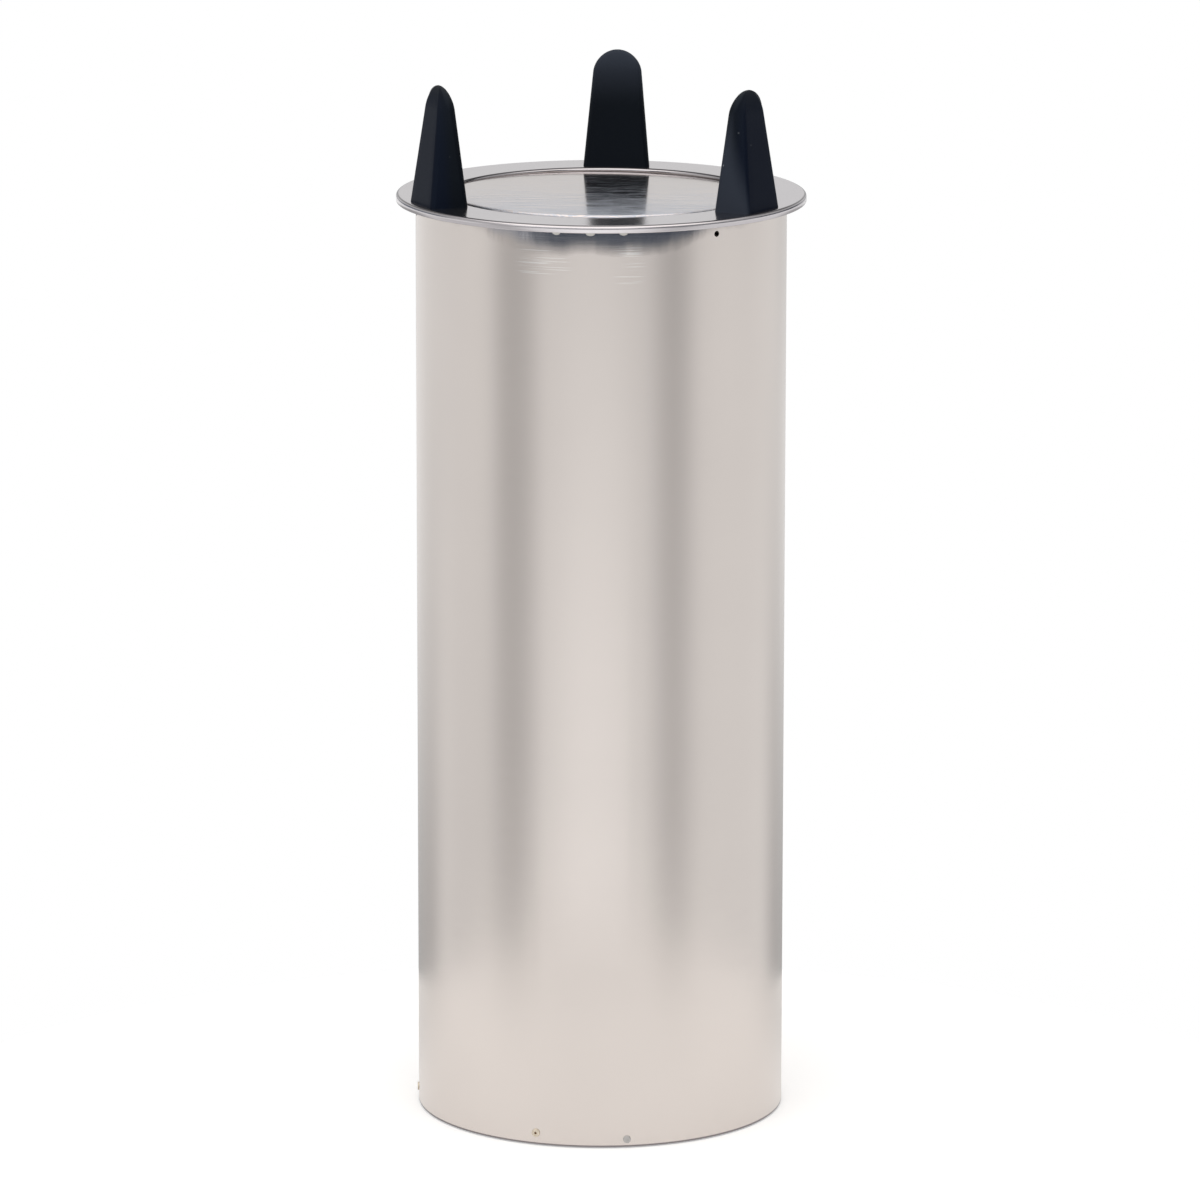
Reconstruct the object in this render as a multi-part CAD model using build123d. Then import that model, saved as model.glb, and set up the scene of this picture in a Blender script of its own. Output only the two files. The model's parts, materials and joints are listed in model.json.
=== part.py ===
from build123d import *
import os
from math import cos, radians, sin

os.makedirs("parts", exist_ok=True)

# Drop-in plate dispenser. The origin is on the floor under the middle of the tube.
# +Z is up, and -Y is the front.
# Lengths are millimetres. Angles are degrees about +Z, counted from +X.

# Shield tube and base, with the room between the plate hole's edge and the inside of the tube
hole_to_shield = 23.3
shield_wall = 1.2
base_sheet = 1.5
base_rim_height = 20.0
base_bend_radius = 4.0
base_vent_diameter = 70.0

# Top flange
flange_top_height = 730.0
flange_overhang = 15.2
flange_sheet = 1.5
flange_lip_drop = 5.8
flange_edge_radius = 2.6
plate_hole_diameter = 240.0
hole_lip_drop = 8.0
hole_edge_radius = 2.2

# Small open holes in the shield under the flange
upper_hole_diameter = 4.6
upper_hole_count = 3
upper_hole_angle = -52.4
upper_hole_below_flange = 12.0

# Fasteners at the foot, each with a partner on the far side of the tube
foot_partner_turn = 200.0
rivet_angles = (-110.3, -178.6)
rivet_height = 9.0
rivet_head_diameter = 6.6
rivet_head_rise = 1.1
rivet_shank_diameter = 4.0
rivet_tail_diameter = 5.6
rivet_tail_length = 3.0
mandrel_hole_diameter = 2.0
foot_screw_angles = (-81.7,)
foot_screw_height = 6.0
foot_screw_head_diameter = 6.0
foot_screw_head_rise = 1.0
foot_screw_shank_diameter = 3.5
foot_screw_reach = 9.0

# Plate guides, moulded horns on the flange above the rails.
# Leans and tapers are lengths at the shoulder, where the crown begins.
guide_count = 3
guide_angle = 84.6
guide_height = 92.0
guide_crown = 17.5
guide_inset_from_hole = 3.4
guide_depth = 29.7
guide_inner_width = 52.6
guide_outer_width = 44.9
guide_inner_lean = 7.4
guide_outer_lean = 9.4
guide_inner_taper = 7.0
guide_outer_taper = 7.3
guide_corner = 4.4
guide_corner_limit = 0.8
guide_crown_angles = (0, 18, 36, 54, 70, 82)
guide_cavity_end = 0.6
guide_wall = 3.0
guide_boss_height = 34.0
guide_boss_wall = 2.6

# Screws that hold guide, flange and rail together
guide_screw_spacing = 13.0
guide_screw_shank_diameter = 4.0
guide_screw_head_diameter = 7.0
guide_screw_head_height = 2.6
guide_screw_bite = 18.0

# Guide rails, channels that open towards the middle
rail_width = 24.0
rail_depth = 14.0
rail_sheet = 1.5
rail_bend_radius = 2.5
rail_from_shield = 1.8
rail_screw_head_diameter = 8.0
rail_screw_head_height = 2.8
rail_screw_shank_diameter = 4.0
rail_screw_reach = 10.0

# Platform
platform_gap = 2.0
platform_sheet = 1.5
platform_rim_drop = 10.0
platform_edge_radius = 3.0
platform_below_flange = 2.2

# Carrier legs and spring ring
cage_depth = 222.0
leg_width = 20.0
leg_sheet = 2.5
leg_foot = 28.0
leg_bend_radius = 4.5
leg_from_platform_rim = 2.5
ring_sheet = 3.0
ring_inner_diameter = 168.0
ear_side_room = 4.0
ear_corner = 5.0
leg_bolt_diameter = 5.0
leg_bolt_head_diameter = 8.5
leg_bolt_head_height = 3.5
leg_nut_across_flats = 8.0
leg_nut_height = 4.0

# Guide shoes
shoe_height = 36.0
shoe_lead_in = 3.0
upper_shoe_below_rim = 3.0
lower_shoe_above_ring = 10.0
shoe_screw_shank_diameter = 4.0
shoe_screw_head_diameter = 8.0
shoe_screw_head_height = 2.5
shoe_screw_bite = 14.0

# Springs, with coned ends that turn down to a neck and a button
springs_per_set = 3
spring_pitch = 16.0
spring_diameter = 12.0
spring_wire = 1.4
spring_neck_diameter = 3.2
spring_neck_bore = 1.2
spring_button_diameter = 8.6
spring_button_height = 2.4
spring_neck_length = 4.0
spring_cone_length = 8.0

# Spring hangers, top-hat brackets under the flange
hanger_drop = 15.5
hanger_sheet = 1.5
hanger_bend_radius = 2.5
hanger_depth = 12.0
hanger_foot = 9.0
hanger_side_room = 6.0

# Rubber stops
pad_corner = 1.0
bumper_diameter = 22.0
bumper_height = 14.0
bumper_edge_radius = 2.5
bumper_stem_diameter = 7.0
bumper_bulb_diameter = 10.0
bumper_bulb_height = 4.0

# Rounded edges of screw and bolt heads
head_rounding = 0.8
rivet_rounding = 0.5

# Clearances
hole_clearance = 0.3
seat_gap = 0.3
slide_gap = 0.5
stop_gap = 0.5

# Levels and radii that follow from the sizes above
hole_radius = plate_hole_diameter / 2
shield_inner_radius = hole_radius + hole_to_shield
shield_radius = shield_inner_radius + shield_wall
flange_radius = shield_radius + flange_overhang
flange_underside = flange_top_height - flange_sheet
hole_lip_radius = hole_radius + flange_sheet
base_radius = shield_inner_radius - seat_gap
base_rim_inner_radius = base_radius - base_sheet
base_floor_underside = base_rim_height - base_sheet
upper_hole_height = flange_underside - upper_hole_below_flange

rail_back_radius = shield_inner_radius - rail_from_shield
rail_mouth_radius = rail_back_radius - rail_depth
rail_tab_underside = flange_underside - rail_sheet
rail_middle_radius = (rail_back_radius + rail_mouth_radius) / 2

platform_top = flange_top_height - platform_below_flange
platform_radius = hole_radius - platform_gap
platform_underside = platform_top - platform_sheet
platform_rim_bottom = platform_top - platform_rim_drop

leg_radius = platform_radius - platform_sheet - leg_from_platform_rim
ring_bottom = platform_underside - cage_depth
ring_top = ring_bottom + ring_sheet
leg_bolt_radius = leg_radius - leg_sheet - (leg_foot - leg_sheet) / 2

shoe_tip_radius = rail_back_radius - rail_sheet - slide_gap
shoe_width = rail_width - 2 * (rail_sheet + slide_gap)
upper_shoe_top = platform_rim_bottom - upper_shoe_below_rim
lower_shoe_top = ring_top + lower_shoe_above_ring + shoe_height

hanger_inner_radius = hole_lip_radius + 2 * seat_gap
spring_radius = hanger_inner_radius + hanger_depth / 2
hanger_seat = flange_underside - hanger_drop
hanger_width = (springs_per_set - 1) * spring_pitch + spring_diameter + 2 * hanger_side_room
ear_tip_radius = spring_radius + spring_diameter / 2
ear_width = (springs_per_set - 1) * spring_pitch + spring_diameter + 2 * ear_side_room

guide_face_radius = hole_radius + guide_inset_from_hole
guide_shoulder = guide_height - guide_crown

bumper_radius = (ring_inner_diameter / 2 + leg_radius) / 2
bumper_top = base_rim_height + bumper_height
carrier_travel = ring_bottom - bumper_top - stop_gap

guide_angles = [guide_angle + 360 / guide_count * i for i in range(guide_count)]
spring_angles = [angle + 180 / guide_count for angle in guide_angles]
rivet_all_angles = [angle + turn for angle in rivet_angles for turn in (0, foot_partner_turn)]
foot_screw_all_angles = [angle + turn for angle in foot_screw_angles for turn in (0, foot_partner_turn)]
upper_hole_angles = [upper_hole_angle + 360 / upper_hole_count * i for i in range(upper_hole_count)]
spring_offsets = [(i - (springs_per_set - 1) / 2) * spring_pitch for i in range(springs_per_set)]
guide_screw_offsets = (-guide_screw_spacing / 2, guide_screw_spacing / 2)


def outline(*corners):
    """Closed flat section through corners given as x, y and the rounding there."""
    points = [(x, y) for x, y, rounding in corners]
    roundings = [rounding for x, y, rounding in corners]
    return make_face(FilletPolyline(*points, radius=roundings, close=True))


def spun(*corners):
    """Solid of revolution from corners given as radius, height and rounding."""
    return revolve(Plane.XZ * outline(*corners), Axis.Z)


def turned(shape, angle):
    """Shape swung about the middle of the dispenser from the +X side."""
    return Rot(0, 0, angle) * shape


def all_round(shape, angles):
    """Copies of a shape at several angles about the middle."""
    return [turned(shape, angle) for angle in angles]


def upright(radius, bottom, top, x=0.0, y=0.0):
    """Vertical round bar from one level to another."""
    return Pos(x, y, bottom) * extrude(Circle(radius), top - bottom)


def outward(radius, start, end, height, y=0.0):
    """Round bar along the +X direction between two distances from the middle."""
    return Pos(start, y, height) * Rot(0, 90, 0) * extrude(Circle(radius), end - start)


def side_profile(section, width):
    """Section drawn as radius and height, made as wide as asked about the +X direction."""
    return extrude(Plane.XZ * section, width / 2, both=True)


def block(start, end, width, bottom, top):
    """Plain block about the +X direction."""
    footprint = Pos((start + end) / 2, 0) * Rectangle(end - start, width)
    return Pos(0, 0, bottom) * extrude(footprint, top - bottom)


def write(name, *solids):
    """One sub-part, as a file of its own."""
    shape = solids[0] if len(solids) == 1 else Compound(children=list(solids))
    shape.label = name
    export_step(shape, "parts/" + name + ".step")


# Shield tube
def shield_tube():
    tube = upright(shield_radius, 0, flange_underside) - upright(shield_inner_radius, 0, flange_underside)
    hole = outward(upper_hole_diameter / 2, hole_radius, flange_radius, upper_hole_height)
    return tube - all_round(hole, upper_hole_angles) - foot_holes()


def foot_holes():
    """Holes for the rivets and screws, through shield and base rim together."""
    rivet_radius = (rivet_shank_diameter + hole_clearance) / 2
    rivet_hole = outward(rivet_radius, hole_radius, flange_radius, rivet_height)
    screw_radius = (foot_screw_shank_diameter + hole_clearance) / 2
    screw_hole = outward(screw_radius, hole_radius, flange_radius, foot_screw_height)
    return all_round(rivet_hole, rivet_all_angles) + all_round(screw_hole, foot_screw_all_angles)


# Base pan, a tray turned upside down inside the foot
def base_pan():
    inner_bend = base_bend_radius - base_sheet
    pan = spun(
        (base_vent_diameter / 2, base_rim_height, 0),
        (base_radius, base_rim_height, base_bend_radius),
        (base_radius, 0, 0),
        (base_rim_inner_radius, 0, 0),
        (base_rim_inner_radius, base_floor_underside, inner_bend),
        (base_vent_diameter / 2, base_floor_underside, 0),
    )
    stem_radius = (bumper_stem_diameter + hole_clearance) / 2
    stem_hole = upright(stem_radius, 0, base_rim_height, bumper_radius)
    screw_radius = (rail_screw_shank_diameter + hole_clearance) / 2
    screw_hole = upright(screw_radius, 0, base_rim_height, rail_middle_radius)
    return pan - all_round(stem_hole, spring_angles) - all_round(screw_hole, guide_angles) - foot_holes()


def foot_rivet():
    """Pop rivet whose head follows the tube, with its mandrel hole and its set tail inside the rim."""
    head_end = shield_radius + rivet_head_rise
    head = outward(rivet_head_diameter / 2, shield_inner_radius, head_end, rivet_height)
    head = fillet(head.edges().group_by(Axis.X)[-1], rivet_rounding)
    head -= upright(shield_radius, 0, base_rim_height)
    tail_end = base_rim_inner_radius - seat_gap
    tail = outward(rivet_tail_diameter / 2, tail_end - rivet_tail_length, tail_end, rivet_height)
    shank = outward(rivet_shank_diameter / 2, tail_end, shield_radius + rivet_rounding, rivet_height)
    mandrel = outward(mandrel_hole_diameter / 2, shield_inner_radius, flange_radius, rivet_height)
    return head + shank + tail - mandrel


def foot_screw():
    head_end = shield_radius + foot_screw_head_rise
    head = outward(foot_screw_head_diameter / 2, shield_inner_radius, head_end, foot_screw_height)
    head = fillet(head.edges().group_by(Axis.X)[-1], rivet_rounding)
    head -= upright(shield_radius, 0, base_rim_height)
    shank_end = shield_radius + rivet_rounding
    shank_start = shank_end - foot_screw_reach
    shank = outward(foot_screw_shank_diameter / 2, shank_start, shank_end, foot_screw_height)
    return head + shank


# Top flange
def top_flange():
    rim = flange_radius - flange_sheet
    flange = spun(
        (hole_radius, flange_top_height - hole_lip_drop, 0),
        (hole_radius, flange_top_height, hole_edge_radius),
        (flange_radius, flange_top_height, flange_edge_radius),
        (flange_radius, flange_top_height - flange_lip_drop, 0),
        (rim, flange_top_height - flange_lip_drop, 0),
        (rim, flange_underside, flange_edge_radius - flange_sheet),
        (hole_lip_radius, flange_underside, hole_edge_radius - flange_sheet),
        (hole_lip_radius, flange_top_height - hole_lip_drop, 0),
    )
    for hole in guide_screw_holes(flange_underside, flange_top_height):
        flange -= all_round(hole, guide_angles)
    return flange


def guide_screw_holes(bottom, top):
    """Clearance holes for the screws of one plate guide between two levels."""
    radius = (guide_screw_shank_diameter + hole_clearance) / 2
    return [upright(radius, bottom, top, rail_middle_radius, side) for side in guide_screw_offsets]


# Plate guides
def guide_section(rise, shrink, inset):
    """Plan of a guide at a height above the flange, drawn in about its middle near the crown."""
    share = rise / guide_shoulder
    full_half_depth = (guide_depth - (guide_inner_lean + guide_outer_lean) * share) / 2
    middle = guide_face_radius + guide_inner_lean * share + full_half_depth
    half_depth = (full_half_depth - inset) * shrink
    inner_half = (guide_inner_width / 2 - guide_inner_taper * share - inset) * shrink
    outer_half = (guide_outer_width / 2 - guide_outer_taper * share - inset) * shrink
    corner = min(guide_corner * shrink, half_depth * guide_corner_limit, outer_half * guide_corner_limit)
    inner = middle - half_depth + corner
    outer = middle + half_depth - corner
    inner_half -= corner
    outer_half -= corner
    centres = ((inner, -inner_half), (outer, -outer_half), (outer, outer_half), (inner, inner_half))
    section = offset(make_face(Polyline(*centres, close=True)), amount=corner)
    return Pos(0, 0, flange_top_height + rise) * section


def guide_horn():
    """Tapered body with twisted flanks, and a crown that closes over it in a quarter ellipse."""
    body = loft([guide_section(0, 1, 0), guide_section(guide_shoulder, 1, 0)], ruled=True)
    crown = []
    for angle in guide_crown_angles:
        rise = guide_shoulder + guide_crown * sin(radians(angle))
        crown.append(guide_section(rise, cos(radians(angle)), 0))
    return body + loft(crown)


def guide_cavity():
    """Hollow that leaves a moulded wall, narrowing where the crown closes."""
    top = guide_shoulder + guide_crown / 2
    sections = [guide_section(0, 1, guide_wall), guide_section(guide_shoulder, 1, guide_wall)]
    sections.append(guide_section(top, guide_cavity_end, guide_wall))
    return loft(sections, ruled=True)


def plate_guide():
    """Hollow moulded horn with a screw boss against its inner wall."""
    horn = guide_horn()
    boss_half = guide_screw_shank_diameter / 2 + guide_boss_wall
    boss_end = rail_middle_radius + boss_half
    boss_width = guide_screw_spacing + 2 * boss_half
    boss_top = flange_top_height + guide_boss_height
    boss = block(guide_face_radius, boss_end, boss_width, flange_top_height, boss_top)
    guide = horn - guide_cavity() + (boss & horn)
    hole_top = flange_top_height + guide_screw_bite + guide_screw_shank_diameter
    return guide - guide_screw_holes(flange_top_height, hole_top)


def guide_screw(side):
    """Screw driven up through rail tab and flange into the boss."""
    head_bottom = rail_tab_underside - guide_screw_head_height
    head = upright(guide_screw_head_diameter / 2, head_bottom, rail_tab_underside, rail_middle_radius, side)
    head = fillet(head.edges().group_by(Axis.Z)[0], head_rounding)
    shank_top = flange_top_height + guide_screw_bite
    shank = upright(guide_screw_shank_diameter / 2, rail_tab_underside, shank_top, rail_middle_radius, side)
    return head + shank


# Guide rails
def guide_rail():
    """Channel with a tab at the top under the flange and a foot on the base pan."""
    half = rail_width / 2
    inner_half = half - rail_sheet
    inner_back = rail_back_radius - rail_sheet
    inner_bend = rail_bend_radius - rail_sheet
    channel = outline(
        (rail_mouth_radius, half, 0),
        (rail_back_radius, half, rail_bend_radius),
        (rail_back_radius, -half, rail_bend_radius),
        (rail_mouth_radius, -half, 0),
        (rail_mouth_radius, -inner_half, 0),
        (inner_back, -inner_half, inner_bend),
        (inner_back, inner_half, inner_bend),
        (rail_mouth_radius, inner_half, 0),
    )
    rail = Pos(0, 0, base_rim_height) * extrude(channel, flange_underside - base_rim_height)
    foot_top = base_rim_height + rail_sheet
    tab_end = inner_back + rail_sheet / 2
    tab_width = rail_width - rail_sheet
    rail += block(rail_mouth_radius, tab_end, tab_width, base_rim_height, foot_top)
    rail += block(rail_mouth_radius, tab_end, tab_width, rail_tab_underside, flange_underside)
    screw_radius = (rail_screw_shank_diameter + hole_clearance) / 2
    rail -= upright(screw_radius, base_rim_height, foot_top, rail_middle_radius)
    return rail - guide_screw_holes(rail_tab_underside, flange_underside)


def rail_screw():
    """Screw through rail foot and base pan, from above."""
    seat = base_rim_height + rail_sheet
    head_top = seat + rail_screw_head_height
    head = upright(rail_screw_head_diameter / 2, seat, head_top, rail_middle_radius)
    head = fillet(head.edges().group_by(Axis.Z)[-1], head_rounding)
    shank = upright(rail_screw_shank_diameter / 2, seat - rail_screw_reach, seat, rail_middle_radius)
    return head + shank


# Spring hangers
def spring_slot(seat, sheet, mouth_radius):
    """Slot for a spring's neck that is open on one side of a hanger or ear."""
    width = spring_neck_diameter + 2 * hole_clearance
    slot = upright(width / 2, seat, seat + sheet, spring_radius)
    start = min(spring_radius, mouth_radius)
    end = max(spring_radius, mouth_radius)
    return slot + block(start, end, width, seat, seat + sheet)


def spring_hanger():
    """Top-hat bracket welded under the flange, slotted from its inner side."""
    half = hanger_width / 2
    inner_half = half - hanger_sheet
    foot_half = half + hanger_foot
    foot_bottom = flange_underside - hanger_sheet
    shelf_top = hanger_seat + hanger_sheet
    inner_bend = hanger_bend_radius - hanger_sheet
    hat = outline(
        (-foot_half, flange_underside, 0),
        (-inner_half, flange_underside, hanger_bend_radius),
        (-inner_half, shelf_top, inner_bend),
        (inner_half, shelf_top, inner_bend),
        (inner_half, flange_underside, hanger_bend_radius),
        (foot_half, flange_underside, 0),
        (foot_half, foot_bottom, 0),
        (half, foot_bottom, inner_bend),
        (half, hanger_seat, hanger_bend_radius),
        (-half, hanger_seat, hanger_bend_radius),
        (-half, foot_bottom, inner_bend),
        (-foot_half, foot_bottom, 0),
    )
    hanger = Pos(hanger_inner_radius, 0, 0) * extrude(Plane.YZ * hat, hanger_depth)
    for side in spring_offsets:
        hanger -= Pos(0, side, 0) * spring_slot(hanger_seat, hanger_sheet, hanger_inner_radius)
    return hanger


# Springs
def spring():
    """Extension spring as its closed-wound outline, hung by a button at each end."""
    top_seat = hanger_seat + hanger_sheet
    top_cone = hanger_seat - spring_neck_length
    bottom_cone = ring_top + spring_neck_length
    neck = spring_neck_diameter / 2
    bore = spring_neck_bore / 2
    button = spring_button_diameter / 2
    coil = spring_diameter / 2
    coil_bore = coil - spring_wire
    body = spun(
        (bore, top_seat + spring_button_height, 0),
        (button, top_seat + spring_button_height, 0),
        (button, top_seat, 0),
        (neck, top_seat, 0),
        (neck, top_cone, 0),
        (coil, top_cone - spring_cone_length, 0),
        (coil, bottom_cone + spring_cone_length, 0),
        (neck, bottom_cone, 0),
        (neck, ring_bottom, 0),
        (button, ring_bottom, 0),
        (button, ring_bottom - spring_button_height, 0),
        (bore, ring_bottom - spring_button_height, 0),
        (bore, bottom_cone, 0),
        (coil_bore, bottom_cone + spring_cone_length, 0),
        (coil_bore, top_cone - spring_cone_length, 0),
        (bore, top_cone, 0),
    )
    return Pos(spring_radius, 0, 0) * body


# Rubber stops
def stop_pad():
    """Rubber pad under the flange, over the upper shoe."""
    start = hole_lip_radius + 2 * seat_gap
    end = rail_mouth_radius - seat_gap
    pad = block(start, end, shoe_width, upper_shoe_top + stop_gap, flange_underside)
    return fillet(pad.edges().filter_by(Axis.Z), pad_corner)


def bumper():
    """Rubber bumper whose stem is pulled through the base pan and held by its bulb."""
    bulb_top = base_floor_underside
    head = bumper_diameter / 2
    stem = bumper_stem_diameter / 2
    bulb = bumper_bulb_diameter / 2
    body = spun(
        (0, bumper_top, 0),
        (head, bumper_top, bumper_edge_radius),
        (head, base_rim_height, 0),
        (stem, base_rim_height, 0),
        (stem, bulb_top, 0),
        (bulb, bulb_top, 0),
        (stem, bulb_top - bumper_bulb_height, 0),
        (0, bulb_top - bumper_bulb_height, 0),
    )
    return Pos(bumper_radius, 0, 0) * body


# Carrier: platform, legs, spring ring and shoes
def plate_platform():
    rim = platform_radius - platform_sheet
    return spun(
        (0, platform_top, 0),
        (platform_radius, platform_top, platform_edge_radius),
        (platform_radius, platform_rim_bottom, 0),
        (rim, platform_rim_bottom, 0),
        (rim, platform_underside, platform_edge_radius - platform_sheet),
        (0, platform_underside, 0),
    )


def shoe_levels():
    """Middle heights of the lower and the upper shoe on a leg."""
    return (lower_shoe_top - shoe_height / 2, upper_shoe_top - shoe_height / 2)


def carrier_leg():
    """Bracket bent inwards at both ends, with a foot under the platform and one on the spring ring."""
    inner = leg_radius - leg_sheet
    toe = leg_radius - leg_foot
    inner_bend = leg_bend_radius - leg_sheet
    bracket = outline(
        (toe, platform_underside, 0),
        (leg_radius, platform_underside, leg_bend_radius),
        (leg_radius, ring_top, leg_bend_radius),
        (toe, ring_top, 0),
        (toe, ring_top + leg_sheet, 0),
        (inner, ring_top + leg_sheet, inner_bend),
        (inner, platform_underside - leg_sheet, inner_bend),
        (toe, platform_underside - leg_sheet, 0),
    )
    leg = side_profile(bracket, leg_width)
    for height in shoe_levels():
        leg -= outward((shoe_screw_shank_diameter + hole_clearance) / 2, toe, leg_radius, height)
    bolt_hole = (leg_bolt_diameter + hole_clearance) / 2
    return leg - upright(bolt_hole, ring_top, ring_top + leg_sheet, leg_bolt_radius)


def spring_ring():
    """Flat ring under the legs, with a slotted ear for each set of springs."""
    ring = upright(leg_radius, ring_bottom, ring_top)
    ring -= upright(ring_inner_diameter / 2, ring_bottom, ring_top)
    ear_start = ring_inner_diameter / 2 + ear_corner
    ear = block(ear_start, ear_tip_radius, ear_width, ring_bottom, ring_top)
    ear = fillet(ear.edges().filter_by(Axis.Z).group_by(Axis.X)[-1], ear_corner)
    for side in spring_offsets:
        ear -= Pos(0, side, 0) * spring_slot(ring_bottom, ring_sheet, ear_tip_radius)
    ring += all_round(ear, spring_angles)
    bolt_radius = (leg_bolt_diameter + hole_clearance) / 2
    bolt_hole = upright(bolt_radius, ring_bottom, ring_top, leg_bolt_radius)
    return ring - all_round(bolt_hole, guide_angles)


def leg_bolt():
    """Bolt and nut through a leg's lower foot and the spring ring."""
    seat = ring_top + leg_sheet
    head = upright(leg_bolt_head_diameter / 2, seat, seat + leg_bolt_head_height, leg_bolt_radius)
    head = fillet(head.edges().group_by(Axis.Z)[-1], head_rounding)
    shank = upright(leg_bolt_diameter / 2, ring_bottom - leg_nut_height, seat, leg_bolt_radius)
    hexagon = RegularPolygon(leg_nut_across_flats / 2, 6, major_radius=False)
    nut = Pos(leg_bolt_radius, 0, ring_bottom - leg_nut_height) * extrude(hexagon, leg_nut_height)
    return head + shank + nut


def guide_shoe(height):
    """Nylon block on the outside of a leg that runs in the rail, with lead-ins at both ends."""
    half = shoe_height / 2
    section = outline(
        (leg_radius, height - half, 0),
        (shoe_tip_radius - shoe_lead_in, height - half, 0),
        (shoe_tip_radius, height - half + shoe_lead_in, 0),
        (shoe_tip_radius, height + half - shoe_lead_in, 0),
        (shoe_tip_radius - shoe_lead_in, height + half, 0),
        (leg_radius, height + half, 0),
    )
    shoe = side_profile(section, shoe_width)
    screw_radius = (shoe_screw_shank_diameter + hole_clearance) / 2
    hole_end = leg_radius + shoe_screw_bite + shoe_screw_shank_diameter
    return shoe - outward(screw_radius, leg_radius, hole_end, height)


def shoe_screw(height):
    """Screw from the inside of a leg into its shoe."""
    seat = leg_radius - leg_sheet
    head = outward(shoe_screw_head_diameter / 2, seat - shoe_screw_head_height, seat, height)
    head = fillet(head.edges().group_by(Axis.X)[0], head_rounding)
    return head + outward(shoe_screw_shank_diameter / 2, seat, leg_radius + shoe_screw_bite, height)


# All sub-parts, each in its place
write("shield_tube", shield_tube())
write("base_pan", base_pan())
write("base_rivets", *all_round(foot_rivet(), rivet_all_angles))
write("base_screws", *all_round(foot_screw(), foot_screw_all_angles))
write("top_flange", top_flange())
guide_screws = [all_round(guide_screw(side), guide_angles) for side in guide_screw_offsets]
write("guide_screws", *sum(guide_screws, []))
write("rail_screws", *all_round(rail_screw(), guide_angles))
write("plate_platform", plate_platform())
write("spring_ring", spring_ring())
write("leg_bolts", *all_round(leg_bolt(), guide_angles))
shoe_screws = [all_round(shoe_screw(height), guide_angles) for height in shoe_levels()]
write("shoe_screws", *sum(shoe_screws, []))

guide = plate_guide()
rail = guide_rail()
for number, angle in enumerate(guide_angles, start=1):
    write("plate_guide_%d" % number, turned(guide, angle))
    write("guide_rail_%d" % number, turned(rail, angle))
    write("stop_pad_%d" % number, turned(stop_pad(), angle))
    write("carrier_leg_%d" % number, turned(carrier_leg(), angle))
    for level, height in zip(("lower", "upper"), shoe_levels()):
        write("%s_shoe_%d" % (level, number), turned(guide_shoe(height), angle))

springs = [Pos(0, side, 0) * spring() for side in spring_offsets]
for number, angle in enumerate(spring_angles, start=1):
    write("spring_hanger_%d" % number, turned(spring_hanger(), angle))
    write("bumper_%d" % number, turned(bumper(), angle))
    write("spring_set_%d" % number, *[turned(one, angle) for one in springs])

print("carrier travel %.1f mm" % carrier_travel)
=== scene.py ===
import json
import math
from collections import namedtuple

import bmesh
import bpy
from mathutils import Matrix, Vector


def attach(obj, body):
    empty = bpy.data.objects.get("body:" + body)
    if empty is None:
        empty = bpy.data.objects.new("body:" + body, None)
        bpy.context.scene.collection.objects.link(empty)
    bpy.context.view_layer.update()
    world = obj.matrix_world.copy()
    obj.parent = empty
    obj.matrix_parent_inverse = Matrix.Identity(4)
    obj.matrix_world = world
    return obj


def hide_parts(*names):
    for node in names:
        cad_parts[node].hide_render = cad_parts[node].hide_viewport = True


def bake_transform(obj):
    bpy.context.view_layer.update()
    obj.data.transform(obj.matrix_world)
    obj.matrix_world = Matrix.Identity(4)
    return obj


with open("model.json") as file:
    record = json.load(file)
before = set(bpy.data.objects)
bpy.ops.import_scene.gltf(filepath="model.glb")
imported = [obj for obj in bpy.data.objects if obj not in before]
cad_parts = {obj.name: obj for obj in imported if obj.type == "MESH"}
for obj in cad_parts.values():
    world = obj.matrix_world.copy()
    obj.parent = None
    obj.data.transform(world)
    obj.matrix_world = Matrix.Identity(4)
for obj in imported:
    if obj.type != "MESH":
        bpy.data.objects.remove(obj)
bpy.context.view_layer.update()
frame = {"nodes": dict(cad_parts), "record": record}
nodes = frame["nodes"]
scene = bpy.context.scene
MM = 0.001

# Sizes of the dispenser that the visual pieces share with its solids, in millimetres and degrees
FLANGE_TOP = 730.0
FLANGE_RADIUS = 159.7
FLANGE_SHEET = 1.5
FLANGE_EDGE = 2.6
FLANGE_LIP_BOTTOM = 724.2
HOLE_RADIUS = 120.0
HOLE_EDGE = 2.2
HOLE_LIP_BOTTOM = 722.0
SHIELD_RADIUS = 144.5
RIVET_ANGLES = (-110.3, -178.6)
RIVET_PARTNER_TURN = 200.0
RIVET_HEIGHT = 9.0
MANDREL_HOLE = 2.0
GUIDE_ANGLES = (84.6, 204.6, 324.6)
GUIDE_FACE_RADIUS = 123.4
GUIDE_DEPTH = 29.7
GUIDE_SHOULDER = 74.5
GUIDE_CROWN = 17.5
GUIDE_INNER_HALF = 26.3
GUIDE_OUTER_HALF = 22.45
GUIDE_INNER_LEAN = 7.4
GUIDE_OUTER_LEAN = 9.4
GUIDE_INNER_TAPER = 7.0
GUIDE_OUTER_TAPER = 7.3
GUIDE_CORNER = 4.4
PLATFORM_RADIUS = 118.0
PLATFORM_SHEET = 1.5
PLATFORM_RIM_DROP = 10.0
RING_TOP = 507.3
RING_BOTTOM = 504.3
HANGER_SEAT = 713.0
HANGER_SHEET = 1.5
SPRING_ANGLES = (144.6, 264.6, 24.6)
SPRING_RADIUS = 128.1
SPRING_OFFSETS = (-16.0, 0.0, 16.0)

# Platform as it leans in the hole: its middle, its edge's radius, and its leans in degrees
PLATFORM_TOP = 729.05
PLATFORM_EDGE = 2.0
PLATFORM_LEAN_LEFT = 0.3
PLATFORM_LEAN_FRONT = 0.98

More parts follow.
